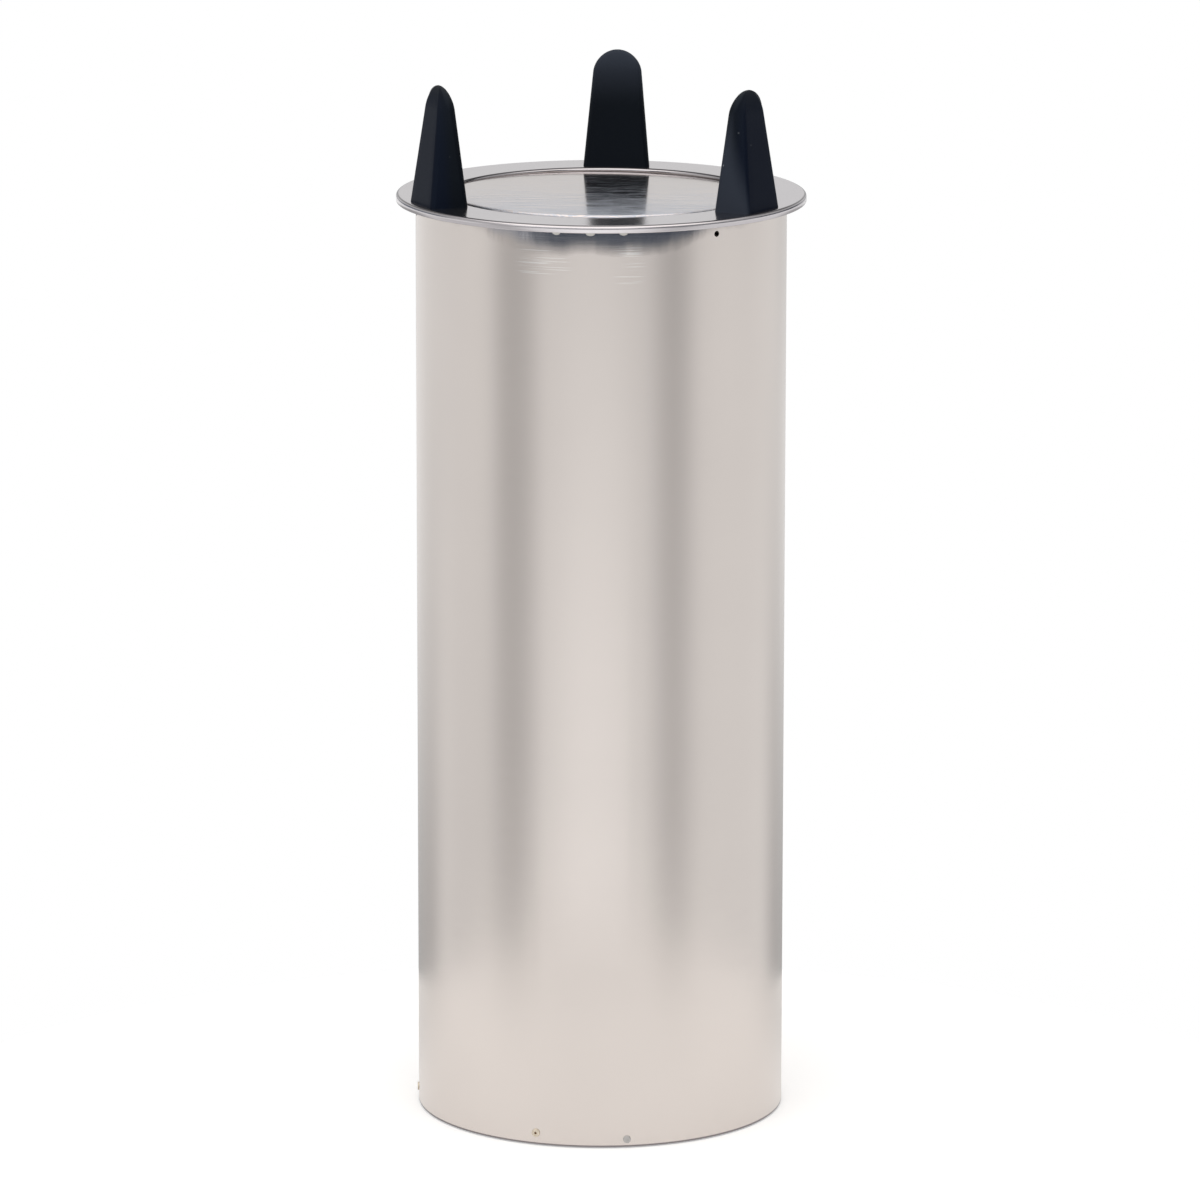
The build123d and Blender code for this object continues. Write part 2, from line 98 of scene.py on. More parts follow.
# Node helpers
Place = namedtuple("Place", "where x y z radius")


def grey(level):
    return (level, level, level)


def join(tree, value, socket):
    """Links an output to a socket, or sets a plain value on it."""
    if isinstance(value, bpy.types.NodeSocket):
        tree.links.new(value, socket)
    else:
        socket.default_value = value


def node(tree, kind, settings=None, **inputs):
    """New node with its settings and its input values or links. The names i0, i1, i2 are input numbers."""
    made = tree.nodes.new(kind)
    for key, value in (settings or {}).items():
        setattr(made, key, value)
    for key, value in inputs.items():
        numbered = key[0] == "i" and key[1:].isdigit()
        join(tree, value, made.inputs[int(key[1:]) if numbered else key])
    return made


def math_node(tree, operation, first, second=0.0):
    return node(tree, "ShaderNodeMath", {"operation": operation}, i0=first, i1=second).outputs[0]


def times(tree, first, *others):
    for other in others:
        first = math_node(tree, "MULTIPLY", first, other)
    return first


def plus(tree, first, second):
    return math_node(tree, "ADD", first, second)


def minus(tree, first, second):
    return math_node(tree, "SUBTRACT", first, second)


def larger(tree, first, second):
    return math_node(tree, "MAXIMUM", first, second)


def above(tree, first, second):
    """One where the first value is the larger, and zero elsewhere."""
    return math_node(tree, "GREATER_THAN", first, second)


def step(tree, value, low, high, out_low=0.0, out_high=1.0):
    """Smooth ramp of a value from one level to another."""
    made = node(tree, "ShaderNodeMapRange", {"interpolation_type": "SMOOTHSTEP"})
    levels = {"Value": value, "From Min": low, "From Max": high, "To Min": out_low, "To Max": out_high}
    for key, given in levels.items():
        join(tree, given, made.inputs[key])
    return made.outputs[0]


def window(tree, value, low, high, soft):
    """One between two levels and zero outside them, with soft edges."""
    rise = step(tree, value, low - soft, low + soft)
    fall = step(tree, value, high - soft, high + soft, 1.0, 0.0)
    return times(tree, rise, fall)


def place(tree):
    """Coordinates in the frame of the dispenser, as a vector and as x, y, z and distance from the middle."""
    where = node(tree, "ShaderNodeTexCoord").outputs["Object"]
    x, y, z = node(tree, "ShaderNodeSeparateXYZ", Vector=where).outputs
    flat = node(tree, "ShaderNodeCombineXYZ", X=x, Y=y)
    radius = node(tree, "ShaderNodeVectorMath", {"operation": "LENGTH"}, i0=flat.outputs[0]).outputs["Value"]
    return Place(where, x, y, z, radius)


def stretched(tree, values, scales):
    """Coordinates drawn out by a different scale along each axis."""
    x, y, z = (times(tree, value, scale) for value, scale in zip(values, scales))
    return node(tree, "ShaderNodeCombineXYZ", X=x, Y=y, Z=z).outputs[0]


def noise(tree, vector, scale=1.0, detail=2.0, roughness=0.5):
    made = node(tree, "ShaderNodeTexNoise", Vector=vector, Scale=scale, Detail=detail, Roughness=roughness)
    return made.outputs["Fac"]


def ramp(tree, value, *stops):
    """Colour ramp through the given places and linear colours."""
    made = node(tree, "ShaderNodeValToRGB", Fac=value)
    for point, (at, colour) in zip(made.color_ramp.elements, stops):
        point.position = at
        point.color = (*colour, 1.0)
    return made.outputs["Color"]


def blend_colour(tree, amount, first, second, kind="MIX"):
    made = node(tree, "ShaderNodeMix", {"data_type": "RGBA", "blend_type": kind}, i0=amount)
    for value, socket in ((first, made.inputs[6]), (second, made.inputs[7])):
        join(tree, (*value, 1.0) if isinstance(value, tuple) else value, socket)
    return made.outputs[2]


class Finish:
    """Material in the making: its nodes, its coordinates, and its tone, roughness and relief so far."""

    def __init__(self, name):
        self.material = bpy.data.materials.new(name)
        self.material.use_nodes = True
        self.tree = self.material.node_tree
        self.shader = self.tree.nodes["Principled BSDF"]
        self.at = place(self.tree)

    def put(self, key, value):
        """Sets a value that is the same all over on the shader's own socket."""
        self.shader.inputs[key].default_value = value

    def tint(self, amount, colour):
        """Blends a colour over the tone."""
        self.tone = blend_colour(self.tree, amount, self.tone, colour)

    def roughen(self, where, amount):
        self.rough = plus(self.tree, self.rough, times(self.tree, where, amount))

    def done(self):
        """Joins tone, roughness and relief to the shader, and gives the material."""
        relief = node(
            self.tree, "ShaderNodeBump", Height=self.relief, Distance=self.relief_depth, Strength=1.0
        )
        ends = {"Base Color": self.tone, "Roughness": self.rough, "Normal": relief.outputs["Normal"]}
        for key, output in ends.items():
            self.tree.links.new(output, self.shader.inputs[key])
        return self.material


# Levels that most of a noise lies between
LOW, HIGH = 0.3, 0.7

# Grain of the steel, in waves to the metre: across the brushing, along it, and along it on a rolled tube
GRAIN_FINE = 2400
GRAIN_LONG = 22
GRAIN_ROLLED = 30

# Clouds of the steel, and how the levels of its grain darken it and change its roughness
CLOUD_SCALE = 9.0
GRAIN_SHADE = 0.97
GRAIN_LEVELS = (0.25, 0.75)
GRAIN_SMOOTHEST = 0.92
GRAIN_ROUGHEST = 1.08


# Steel
def steel(name, colour, roughness, grain, grain_depth, spread=0.03):
    """Stainless sheet: faintly cloudy colour, and grain drawn out around, across or in rings."""
    made = Finish(name)
    tree, at = made.tree, made.at
    if grain == "around":
        drawn = stretched(tree, (at.x, at.y, at.z), (GRAIN_ROLLED, GRAIN_ROLLED, GRAIN_FINE))
    elif grain == "across":
        drawn = stretched(tree, (at.x, at.y, at.z), (GRAIN_LONG, GRAIN_FINE, GRAIN_FINE))
    else:
        drawn = stretched(tree, (at.radius, at.x, at.z), (GRAIN_FINE, GRAIN_LONG, GRAIN_FINE))
    made.fine = noise(tree, drawn, detail=3.0, roughness=0.6)
    cloud = noise(tree, at.where, scale=CLOUD_SCALE)
    pale = tuple(min(1.0, channel * (1 + spread)) for channel in colour)
    dark = tuple(channel * (1 - spread) for channel in colour)
    tone = ramp(tree, cloud, (LOW, dark), (HIGH, pale))
    streak = ramp(tree, made.fine, (LOW, grey(GRAIN_SHADE)), (HIGH, grey(1.0)))
    made.tone = blend_colour(tree, 1.0, tone, streak, "MULTIPLY")
    smoothest, roughest = roughness * GRAIN_SMOOTHEST, roughness * GRAIN_ROUGHEST
    made.rough = step(tree, made.fine, *GRAIN_LEVELS, smoothest, roughest)
    made.relief = times(tree, made.fine, grain_depth)
    made.relief_depth = 1.0
    made.put("Metallic", 1.0)
    return made


# Platform's finish, in metres from back to front: where the share of dull streaks grows, and where painted
# light makes it paler
STREAKS_GROW = (0.15, -0.17)
STREAK_LEVELS = (0.68, 0.46)
STREAK_ROUGHNESS = 0.42
STREAK_TONE = (0.56, 0.59, 0.66)
PAINTED_LIGHT_GROWS = (0.06, -0.12)
PAINTED_LIGHT_MOST = 0.3
PAINTED_LIGHT_TONE = (0.98, 0.9, 0.87)


def platform_steel():
    """Brushed disc with dull bluish streaks, more of them towards the front, where painted light makes it
    paler too.
    """
    made = steel("platform_steel", colour=(0.63, 0.565, 0.535), roughness=0.13, grain="across",
                 grain_depth=0.0000009)
    tree, y = made.tree, made.at.y
    dull = above(tree, made.fine, step(tree, y, *STREAKS_GROW, *STREAK_LEVELS))
    made.roughen(dull, STREAK_ROUGHNESS)
    # Painted light: the front is made paler to make up for its dimmer reflection
    made.tint(step(tree, y, *PAINTED_LIGHT_GROWS, 0.0, PAINTED_LIGHT_MOST), PAINTED_LIGHT_TONE)
    made.tint(dull, STREAK_TONE)
    return made.done()


# Flange's finish, in metres: the heights of the creases at its two edges, where a dark reflection line is
# painted, and the wall of its hole, where shade is painted
CREASE_OUTER = (0.72925, 0.7299)
CREASE_INNER = (0.7291, 0.72993)
CREASE_SOFT = 0.00006
CREASE_OUTER_REFLECTION = 0.82
CREASE_INNER_REFLECTION = 0.95
CREASE_INNER_ENDS = (0.131, 0.129)
CREASE_REFLECTION_TONE = (0.06, 0.055, 0.06)
WALL_BEGINS = (0.7279, 0.7274)
WALL_REACHES = (0.1222, 0.1214)
WALL_SHADE_MOST = 0.6
WALL_SHADE_TONE = (0.17, 0.165, 0.17)


def flange_steel():
    """Flat ring with a painted dark reflection line where its edges start to turn down, and painted shade
    inside its hole.
    """
    made = steel("flange_steel", colour=(0.63, 0.6, 0.615), roughness=0.17, grain="rings",
                 grain_depth=0.000001)
    tree, z, radius = made.tree, made.at.z, made.at.radius
    # Painted reflection: a fine dark line along the bends at both edges
    outer = times(tree, window(tree, z, *CREASE_OUTER, CREASE_SOFT), CREASE_OUTER_REFLECTION)
    inner = times(tree, window(tree, z, *CREASE_INNER, CREASE_SOFT), CREASE_INNER_REFLECTION)
    inner = times(tree, inner, step(tree, radius, *CREASE_INNER_ENDS))
    # Painted shade on the wall of the hole, below its rolled edge
    wall = times(tree, step(tree, z, *WALL_BEGINS), step(tree, radius, *WALL_REACHES), WALL_SHADE_MOST)
    made.tint(wall, WALL_SHADE_TONE)
    made.tint(larger(tree, outer, inner), CREASE_REFLECTION_TONE)
    return made.done()


# Tube's neck, in metres: it starts raggedly, and higher by NECK_RISE at the sides and behind
NECK_START = 0.7043
NECK_RAGGED = 0.0016
NECK_RAGS = (55, 55, 8)
NECK_LEFT = -0.083
NECK_RIGHT = 0.074
NECK_SOFT = 0.03
NECK_RISE = 0.014
NECK_ROUND = 0.02
NECK_SLOPE = 0.142
SMOOTH_GROWS = (0.004, 0.012)
SMOOTH_MOST = 0.06
# Painted shade above the neck's start, under the lip: how it grows, its strongest share and its colour
NECK_SHADE_GROWS = (0.004, 0.016)
NECK_SHADE_MOST = 0.55
NECK_SHADE_TONE = (0.36, 0.4, 0.5)

# Depth in y over which the front of the tube gives way to its back
FRONT_ENDS = (-0.05, 0.0)

# Tube's rub marks: their lines in waves to the metre, and the patches that they lie in, in metres
RUB_LINES = (14, 14, 900)
RUB_LEVELS = (0.6, 0.66)
RUB_PATCHES = ((-0.062, -0.026), (0.011, 0.03))
RUB_PATCH_SOFT = 0.006
RUB_HEIGHTS = (0.684, 0.717)
RUB_HEIGHT_SOFT = 0.005
RUB_MOST = 0.75
RUB_TONE = (0.84, 0.82, 0.8)

# Tube's painted shade line at the foot and its rear seam, in metres
FOOT_SHADE_ENDS = (0.0008, 0.0016)
FOOT_SHADE_MOST = 0.85
FOOT_SHADE_TONE = (0.13, 0.115, 0.13)
SEAM_RIGHT = 0.035
SEAM_LINE_ENDS = (0.0012, 0.0022)
SEAM_LINE_MOST = 0.5
SEAM_LINE_TONE = (0.42, 0.4, 0.38)
SEAM_LINE_ROUGHNESS = 0.12
SEAM_HALO_ENDS = (0.002, 0.011)
SEAM_HALO_MOST = 0.35
SEAM_HALO_TONE = (0.5, 0.45, 0.38)


def draw_in_neck(made):
    """Top of the tube, which leans in from a ragged line and is smoother above it, with painted shade over it
    under the lip.
    """
    tree, at = made.tree, made.at
    ragged = noise(tree, stretched(tree, (at.x, at.y, at.z), NECK_RAGS), detail=3.0, roughness=0.55)
    start = step(tree, ragged, LOW, HIGH, NECK_START - NECK_RAGGED, NECK_START + NECK_RAGGED)
    beside = minus(tree, 1.0, window(tree, at.x, NECK_LEFT, NECK_RIGHT, NECK_SOFT))
    later = times(tree, larger(tree, beside, step(tree, at.y, *FRONT_ENDS)), NECK_RISE)
    over = larger(tree, minus(tree, minus(tree, at.z, start), later), 0.0)
    squared = math_node(tree, "POWER", over, 2.0)
    lean = math_node(tree, "DIVIDE", squared, plus(tree, over, NECK_ROUND))
    made.relief = plus(tree, made.relief, times(tree, lean, -NECK_SLOPE))
    made.rough = minus(tree, made.rough, step(tree, over, *SMOOTH_GROWS, 0.0, SMOOTH_MOST))
    # Painted shade under the lip
    made.tint(step(tree, over, *NECK_SHADE_GROWS, 0.0, NECK_SHADE_MOST), NECK_SHADE_TONE)


def rub_marks(made):
    """Pale level scratches in two patches under the front of the flange."""
    tree, at = made.tree, made.at
    lines = noise(tree, stretched(tree, (at.x, at.y, at.z), RUB_LINES), detail=1.0)
    left, right = (window(tree, at.x, *patch, RUB_PATCH_SOFT) for patch in RUB_PATCHES)
    rubbed = times(tree, window(tree, at.z, *RUB_HEIGHTS, RUB_HEIGHT_SOFT), plus(tree, left, right))
    rubbed = times(tree, rubbed, step(tree, at.y, *FRONT_ENDS, RUB_MOST, 0.0))
    made.tint(times(tree, step(tree, lines, *RUB_LEVELS), rubbed), RUB_TONE)


def foot_shade_line(made):
    """Painted shade: a dark line at the foot, standing in for the contact shadow."""
    made.tint(step(made.tree, made.at.z, *FOOT_SHADE_ENDS, FOOT_SHADE_MOST, 0.0), FOOT_SHADE_TONE)


def rear_seam(made):
    """Upright weld behind, with a line of its own and heat colour beside it."""
    tree, at = made.tree, made.at
    off = math_node(tree, "ABSOLUTE", minus(tree, at.x, SEAM_RIGHT))
    behind = above(tree, at.y, 0.0)
    line = times(tree, step(tree, off, *SEAM_LINE_ENDS, 1.0, 0.0), behind)
    halo = times(tree, step(tree, off, *SEAM_HALO_ENDS, SEAM_HALO_MOST, 0.0), behind)
    made.tint(halo, SEAM_HALO_TONE)
    made.tint(times(tree, line, SEAM_LINE_MOST), SEAM_LINE_TONE)
    made.roughen(line, SEAM_LINE_ROUGHNESS)


def shield_steel():
    """Rolled tube: its top is drawn in raggedly under the flange, with painted shade there, rub marks below
    that, a painted shade line at the foot and a welded seam behind."""
    made = steel("shield_steel", colour=(0.7, 0.645, 0.61), roughness=0.24, grain="around",
                 grain_depth=0.000004, spread=0.012)
    draw_in_neck(made)
    rub_marks(made)
    # Painted shade at the foot
    foot_shade_line(made)
    rear_seam(made)
    return made.done()


# Moulded plastic and rubber: flow marks, and grain with its depth in metres
FLOW_SCALE = 26.0
FLOW_PALE = 0.75
MOULD_GRAIN = 1500.0
MOULD_GRAIN_DEPTH = 0.00002
MOULD_ROUGHNESS = 0.04


def moulded(name, colour, pale, roughness, specular=0.5):
    """Moulded plastic or rubber: fine grain and faint flow marks."""
    made = Finish(name)
    tree, where = made.tree, made.at.where
    flow = noise(tree, where, scale=FLOW_SCALE, detail=3.0)
    grain = noise(tree, where, scale=MOULD_GRAIN)
    made.tone = ramp(tree, flow, (LOW, colour), (FLOW_PALE, pale))
    made.rough = step(tree, grain, LOW, HIGH, roughness - MOULD_ROUGHNESS, roughness + MOULD_ROUGHNESS)
    made.relief = grain
    made.relief_depth = MOULD_GRAIN_DEPTH
    made.put("Specular IOR Level", specular)
    return made


# Guides' finish: the tint of their sheen, and the radius in metres past which they are bluer
SHEEN_TINT = (0.72, 0.86, 1.0, 1.0)
BLUE_GROWS = (0.136, 0.146)
BLUE_TONE = (0.0006, 0.0022, 0.0095)

# Painted sheen, in metres: painted light on the right guide's flank, by the way across it, and painted
# highlights on the crowns
PAINTED_SHEEN_ACROSS = (0.579, 0.815)
PAINTED_SHEEN_FLANK = (-0.0175, -0.0225)
PAINTED_SHEEN_RIGHT = (0.05, 0.06)
PAINTED_SHEEN_CROWN = (0.775, 0.824)
PAINTED_SHEEN_CROWN_BACK = (-0.02, 0.05)
PAINTED_SHEEN_CROWN_LEVELS = (0.12, 1.0)
PAINTED_SHEEN_TONE = (0.026, 0.031, 0.044)

# Specks of dust: one in some cells of a pattern, and fewer towards the top
SPECK_CELLS = 95.0
SPECK_EDGE = (0.05, 0.09)
SPECK_CHOICE = 0.82
SPECK_HEIGHTS = (0.7305, 0.79)
SPECK_LEAST = 0.15
SPECK_MOST = 0.9
SPECK_TONE = (0.34, 0.36, 0.38)
SPECK_ROUGHNESS = 0.3


def painted_sheen(tree, at):
    """Share of the painted sheen: painted light on the right guide's flank and painted highlights on the
    crowns, most on the rear one.
    """
    across = plus(tree, times(tree, at.x, PAINTED_SHEEN_ACROSS[0]), times(tree, at.y, PAINTED_SHEEN_ACROSS[1]))
    flank = times(tree, step(tree, across, *PAINTED_SHEEN_FLANK), step(tree, at.x, *PAINTED_SHEEN_RIGHT))
    back = step(tree, at.y, *PAINTED_SHEEN_CROWN_BACK, *PAINTED_SHEEN_CROWN_LEVELS)
    return larger(tree, flank, times(tree, step(tree, at.z, *PAINTED_SHEEN_CROWN), back))


def dust_specks(tree, at):
    """Share of the scattered specks of dust."""
    cells = node(tree, "ShaderNodeTexVoronoi", Vector=at.where, Scale=SPECK_CELLS)
    speck = step(tree, cells.outputs["Distance"], *SPECK_EDGE, 1.0, 0.0)
    shade = node(tree, "ShaderNodeSeparateColor", Color=cells.outputs["Color"]).outputs[0]
    low = step(tree, at.z, *SPECK_HEIGHTS, 1.0, SPECK_LEAST)
    return times(tree, speck, above(tree, shade, SPECK_CHOICE), low)


def guide_plastic():
    """Navy black plastic, bluer on the guides' outer sides, with painted sheen on the right guide's flank and
    on the crowns, and specks of dust.
    """
    made = moulded("guide_plastic", colour=(0.0009, 0.0016, 0.0036), pale=(0.0014, 0.0024, 0.005),
                   roughness=0.42, specular=0.16)
    tree, at = made.tree, made.at
    specks = dust_specks(tree, at)
    made.put("Specular Tint", SHEEN_TINT)
    made.tint(step(tree, at.radius, *BLUE_GROWS), BLUE_TONE)
    # Painted light and highlights, pale bluish
    made.tint(painted_sheen(tree, at), PAINTED_SHEEN_TONE)
    made.tint(times(tree, specks, SPECK_MOST), SPECK_TONE)
    made.roughen(specks, SPECK_ROUGHNESS)
    return made.done()


# Small metal pieces: their mottle, the shade and roughness that it brings, and its depth in metres
MOTTLE_SCALE = 420.0
MOTTLE_SHADE = 0.82
MOTTLE_ROUGHER = 0.06
MOTTLE_SMOOTHER = 0.04
MOTTLE_DEPTH = 0.00005


def fastener(name, colour, roughness):
    """Plated or plain metal of small fasteners, with a mottled finish."""
    made = Finish(name)
    tree = made.tree
    mottle = noise(tree, made.at.where, scale=MOTTLE_SCALE, detail=3.0)
    dark = tuple(channel * MOTTLE_SHADE for channel in colour)
    made.tone = ramp(tree, mottle, (LOW, dark), (HIGH, colour))
    made.rough = step(tree, mottle, LOW, HIGH, roughness + MOTTLE_ROUGHER, roughness - MOTTLE_SMOOTHER)
    made.relief = mottle
    made.relief_depth = MOTTLE_DEPTH
    made.put("Metallic", 1.0)
    return made.done()


materials = {
    "shield_steel": shield_steel(),
    "flange_steel": flange_steel(),
    "platform_steel": platform_steel(),
    "inner_steel": steel("inner_steel", (0.52, 0.51, 0.5), 0.36, "around", 0.00002, spread=0.08).done(),
    "rivet_alloy": fastener("rivet_alloy", (0.78, 0.7, 0.58), 0.55),
    "fastener_steel": fastener("fastener_steel", (0.5, 0.49, 0.48), 0.32),
    "spring_wire": fastener("spring_wire", (0.42, 0.42, 0.43), 0.3),
    "guide_plastic": guide_plastic(),
    "shoe_nylon": moulded("shoe_nylon", (0.72, 0.7, 0.63), (0.8, 0.78, 0.72), 0.45).done(),
    "stop_rubber": moulded("stop_rubber", grey(0.014), grey(0.022), 0.65).done(),
    "sealant": moulded("sealant", (0.5, 0.48, 0.45), (0.6, 0.58, 0.545), 0.5).done(),
    "rust": moulded("rust", (0.16, 0.085, 0.04), (0.28, 0.16, 0.085), 0.7).done(),
}

for entry in frame["record"]["subparts"]:
    solid = nodes[entry["node"]]
    solid.data.materials.clear()
    solid.data.materials.append(materials[entry["material_slot"]])


# Mesh helpers
def add_object(name, mesh, material):
    """Object from a finished bmesh, in the scene."""
    data = bpy.data.meshes.new(name)
    mesh.to_mesh(data)
    mesh.free()
    data.materials.append(material)
    made = bpy.data.objects.new(name, data)
    scene.collection.objects.link(made)
    return made


def piece(name, mesh, slot):
    """Smooth object from a finished bmesh, with the material of its slot."""
    bmesh.ops.recalc_face_normals(mesh, faces=mesh.faces)
    made = add_object(name, mesh, materials[slot])
    for face in made.data.polygons:
        face.use_smooth = True
    return made


def about(angle):
    """Turn about the middle of the dispenser, in degrees."""
    return Matrix.Rotation(math.radians(angle), 4, "Z")


def round_angles(steps):
    """Angles of even steps round a circle, in radians."""
    return [2 * math.pi * i / steps for i in range(steps)]


def skin(mesh, rings):
    """Quads between closed rings of points, each ring as long as the next."""
    rows = [[mesh.verts.new(point) for point in ring] for ring in rings]
    for first, second in zip(rows, rows[1:]):
        for i in range(len(first)):
            j = (i + 1) % len(first)
            mesh.faces.new((first[i], first[j], second[j], second[i]))
    return rows


def lathe(mesh, profile, steps, turn):
    """Body of revolution from a closed loop of radius and height points, placed by a matrix.

    A point on the axis becomes a single vertex with triangles round it."""
    rings = []
    for r, z in profile:
        if r == 0:
            rings.append([mesh.verts.new(turn @ Vector((0, 0, z * MM)))] * steps)
            continue
        points = [Vector((r * math.cos(angle), r * math.sin(angle), z)) * MM for angle in round_angles(steps)]
        rings.append([mesh.verts.new(turn @ point) for point in points])
    for first, second in zip(rings, rings[1:] + rings[:1]):
        for i in range(steps):
            j = (i + 1) % steps
            corners = dict.fromkeys((first[i], first[j], second[j], second[i]))
            if len(corners) > 2:
                mesh.faces.new(tuple(corners))


def arc(centre_x, centre_y, radius, start, end, steps):
    """Points of an arc, with angles in degrees."""
    points = []
    for i in range(steps + 1):
        angle = math.radians(start + (end - start) * i / steps)
        points.append((centre_x + radius * math.cos(angle), centre_y + radius * math.sin(angle)))
    return points


# Plate guides: the steps that divide them, and the angle in degrees at which the crown closes
GUIDE_CORNER_STEPS = 9
GUIDE_SIDE_STEPS = 5
GUIDE_HEIGHT_STEPS = 22
GUIDE_CROWN_STEPS = 16
GUIDE_CROWN_CLOSES = 88.5


def guide_ring(rise, shrink):
    """Rounded plan of a guide at a height above the flange, as radius and offset to the side."""
    share = rise / GUIDE_SHOULDER
    half_depth = (GUIDE_DEPTH - (GUIDE_INNER_LEAN + GUIDE_OUTER_LEAN) * share) / 2
    middle = GUIDE_FACE_RADIUS + GUIDE_INNER_LEAN * share + half_depth
    corner = GUIDE_CORNER * shrink
    reach = half_depth * shrink - corner
    inner, outer = middle - reach, middle + reach
    inner_half = (GUIDE_INNER_HALF - GUIDE_INNER_TAPER * share) * shrink - corner
    outer_half = (GUIDE_OUTER_HALF - GUIDE_OUTER_TAPER * share) * shrink - corner
    slant = math.degrees(math.atan2(inner_half - outer_half, outer - inner))
    corners = (
        (outer, outer_half, 0, 90 - slant),
        (inner, inner_half, 90 - slant, 180),
        (inner, -inner_half, 180, 270 + slant),
        (outer, -outer_half, 270 + slant, 360),
    )
    bends = [arc(x, y, corner, start, end, GUIDE_CORNER_STEPS) for x, y, start, end in corners]
    ring = []
    for bend, following in zip(bends, bends[1:] + bends[:1]):
        ring += bend
        (last_x, last_y), (first_x, first_y) = bend[-1], following[0]
        step_x, step_y = (first_x - last_x) / GUIDE_SIDE_STEPS, (first_y - last_y) / GUIDE_SIDE_STEPS
        ring += [(last_x + step_x * k, last_y + step_y * k) for k in range(1, GUIDE_SIDE_STEPS)]
    return ring


def plate_guide(number, angle):
    """Horn with a crowned top, standing on the flange."""
    mesh = bmesh.new()
    levels = [(GUIDE_SHOULDER * i / GUIDE_HEIGHT_STEPS, 1.0) for i in range(GUIDE_HEIGHT_STEPS + 1)]
    for i in range(1, GUIDE_CROWN_STEPS + 1):
        turn = math.radians(GUIDE_CROWN_CLOSES * i / GUIDE_CROWN_STEPS)
        levels.append((GUIDE_SHOULDER + GUIDE_CROWN * math.sin(turn), math.cos(turn)))
    rings = []
    for rise, shrink in levels:
        z = (FLANGE_TOP + rise) * MM
        points = [Vector((r * MM, side * MM, z)) for r, side in guide_ring(rise, shrink)]
        rings.append([about(angle) @ point for point in points])
    rows = skin(mesh, rings)
    mesh.faces.new(rows[-1])
    mesh.faces.new([mesh.verts.new(point) for point in reversed(rings[0])])
    made = piece("guide_horn_%d" % number, mesh, "guide_plastic")
    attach(made, "housing")
    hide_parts("plate_guide_%d" % number)


for number, angle in enumerate(GUIDE_ANGLES, start=1):
    plate_guide(number, angle)

# Sections of sheet: the steps of an outer bend, and the small way to an edge from the point beside it
BEND_STEPS = 10
NEAR_EDGE = 0.3

# Platform, with the radii of the rings on its top and underneath
PLATFORM_TOP_RINGS = (0, 30, 60, 90, 105, 114)
PLATFORM_UNDER_RINGS = (90, 40, 0)
PLATFORM_INNER_STEPS = 6
PLATFORM_STEPS = 256


def platform_profile():
    """Section of the disc with its turned-down rim, from the middle of its top and back underneath."""
    rim = PLATFORM_RADIUS - PLATFORM_SHEET
    under = PLATFORM_TOP - PLATFORM_SHEET
    bottom = PLATFORM_TOP - PLATFORM_RIM_DROP
    edge, inner = PLATFORM_EDGE, PLATFORM_EDGE - PLATFORM_SHEET
    points = [(r, PLATFORM_TOP) for r in PLATFORM_TOP_RINGS]
    points += arc(PLATFORM_RADIUS - edge, PLATFORM_TOP - edge, edge, 90, 0, BEND_STEPS)
    points += [(PLATFORM_RADIUS, bottom + NEAR_EDGE), (PLATFORM_RADIUS - NEAR_EDGE, bottom), (rim, bottom)]
    points += arc(rim - inner, under - inner, inner, 0, 90, PLATFORM_INNER_STEPS)
    points += [(r, under) for r in PLATFORM_UNDER_RINGS]
    return points


def plate_platform():
    """Disc that leans a little in the hole, about its middle."""
    mesh = bmesh.new()
    hub = Matrix.Translation((0, 0, PLATFORM_TOP * MM))
    left = Matrix.Rotation(math.radians(PLATFORM_LEAN_LEFT), 4, "Y")
    front = Matrix.Rotation(math.radians(-PLATFORM_LEAN_FRONT), 4, "X")
    lathe(mesh, platform_profile(), PLATFORM_STEPS, hub @ left @ front @ hub.inverted())
    made = piece("platform_disc", mesh, "platform_steel")
    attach(made, "carrier")
    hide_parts("plate_platform")


plate_platform()

# Flange
FLANGE_INNER_STEPS = 5
FLANGE_STEPS = 320


def flange_profile():
    """Section of the ring with its turned-down edges, and close points where a flat meets a bend."""
    near, sheet = NEAR_EDGE, FLANGE_SHEET
    under = FLANGE_TOP - sheet
    hole_bend, outer_bend = HOLE_RADIUS + HOLE_EDGE, FLANGE_RADIUS - FLANGE_EDGE
    hole_inner, outer_inner = HOLE_EDGE - sheet, FLANGE_EDGE - sheet
    points = [(HOLE_RADIUS, HOLE_LIP_BOTTOM + near)]
    points += arc(hole_bend, FLANGE_TOP - HOLE_EDGE, HOLE_EDGE, 180, 90, BEND_STEPS)
    points += [(hole_bend + near, FLANGE_TOP), (outer_bend - near, FLANGE_TOP)]
    points += arc(outer_bend, FLANGE_TOP - FLANGE_EDGE, FLANGE_EDGE, 90, 0, BEND_STEPS)
    points += [
        (FLANGE_RADIUS, FLANGE_LIP_BOTTOM + near),
        (FLANGE_RADIUS - near, FLANGE_LIP_BOTTOM),
        (FLANGE_RADIUS - sheet + near, FLANGE_LIP_BOTTOM),
        (FLANGE_RADIUS - sheet, FLANGE_LIP_BOTTOM + near),
    ]
    points += arc(outer_bend, under - outer_inner, outer_inner, 0, 90, FLANGE_INNER_STEPS)
    points += arc(hole_bend, under - hole_inner, hole_inner, 90, 180, FLANGE_INNER_STEPS)
    points += [
        (HOLE_RADIUS + sheet, HOLE_LIP_BOTTOM + near),
        (HOLE_RADIUS + sheet - near, HOLE_LIP_BOTTOM),
        (HOLE_RADIUS + near, HOLE_LIP_BOTTOM),
    ]
    return points


